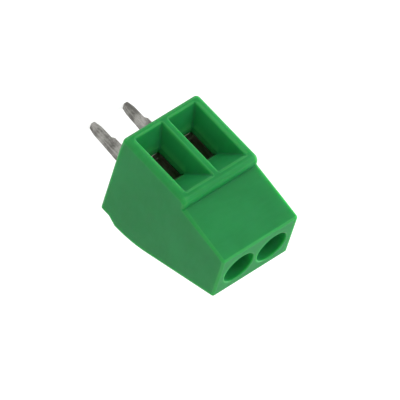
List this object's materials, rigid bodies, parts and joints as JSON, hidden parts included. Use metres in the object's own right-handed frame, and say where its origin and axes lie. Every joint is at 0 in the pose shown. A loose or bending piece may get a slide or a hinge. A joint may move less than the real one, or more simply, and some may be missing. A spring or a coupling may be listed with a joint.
{
  "type": "pcb screw terminal",
  "caption": "Board-mount screw terminal with funnel wire entries in front, slotted clamping screws reached from the top, rising clamps and flat solder pins.",
  "frame": {"origin": "on the board plane, midway between the two solder pins", "axes": "+Z away from the board towards the screws, -Y towards the wire entries, X across the poles"},
  "size_m": [0.0058, 0.0072, 0.0126],
  "materials": {
    "housing_plastic": "semi-gloss moulded polyamide, green, slightly translucent",
    "screw_steel": "zinc-plated steel, dull bright",
    "clamp_nickel": "nickel-plated, satin",
    "contact_tin": "matt tin plating over brass"
  },
  "bodies": {
    "root": {"housing": "housing_plastic", "contact_1": "contact_tin", "contact_2": "contact_tin"},
    "screw_1": {"screw_1": "screw_steel"},
    "screw_2": {"screw_2": "screw_steel"},
    "clamp_1": {"clamp_1": "clamp_nickel"},
    "clamp_2": {"clamp_2": "clamp_nickel"}
  },
  "joints": [
    {"name": "screw_1_turn", "type": "hinge", "parent": "root", "child": "screw_1", "pos_m": [-0.00127, -0.00075, 0.007], "axis": [0, 0, -1], "range_deg": [0, 1980]},
    {"name": "screw_2_turn", "type": "hinge", "parent": "root", "child": "screw_2", "pos_m": [0.00127, -0.00075, 0.007], "axis": [0, 0, -1], "range_deg": [0, 1980]},
    {"name": "clamp_1_lift", "type": "slide", "parent": "root", "child": "clamp_1", "axis": [0, 0, 1], "range_m": [0, 0.00193]},
    {"name": "clamp_2_lift", "type": "slide", "parent": "root", "child": "clamp_2", "axis": [0, 0, 1], "range_m": [0, 0.00193]}
  ],
  "couplings": [
    {"joint": "screw_1_turn", "follows": "clamp_1_lift", "rad_per_m": 17952},
    {"joint": "screw_2_turn", "follows": "clamp_2_lift", "rad_per_m": 17952}
  ]
}
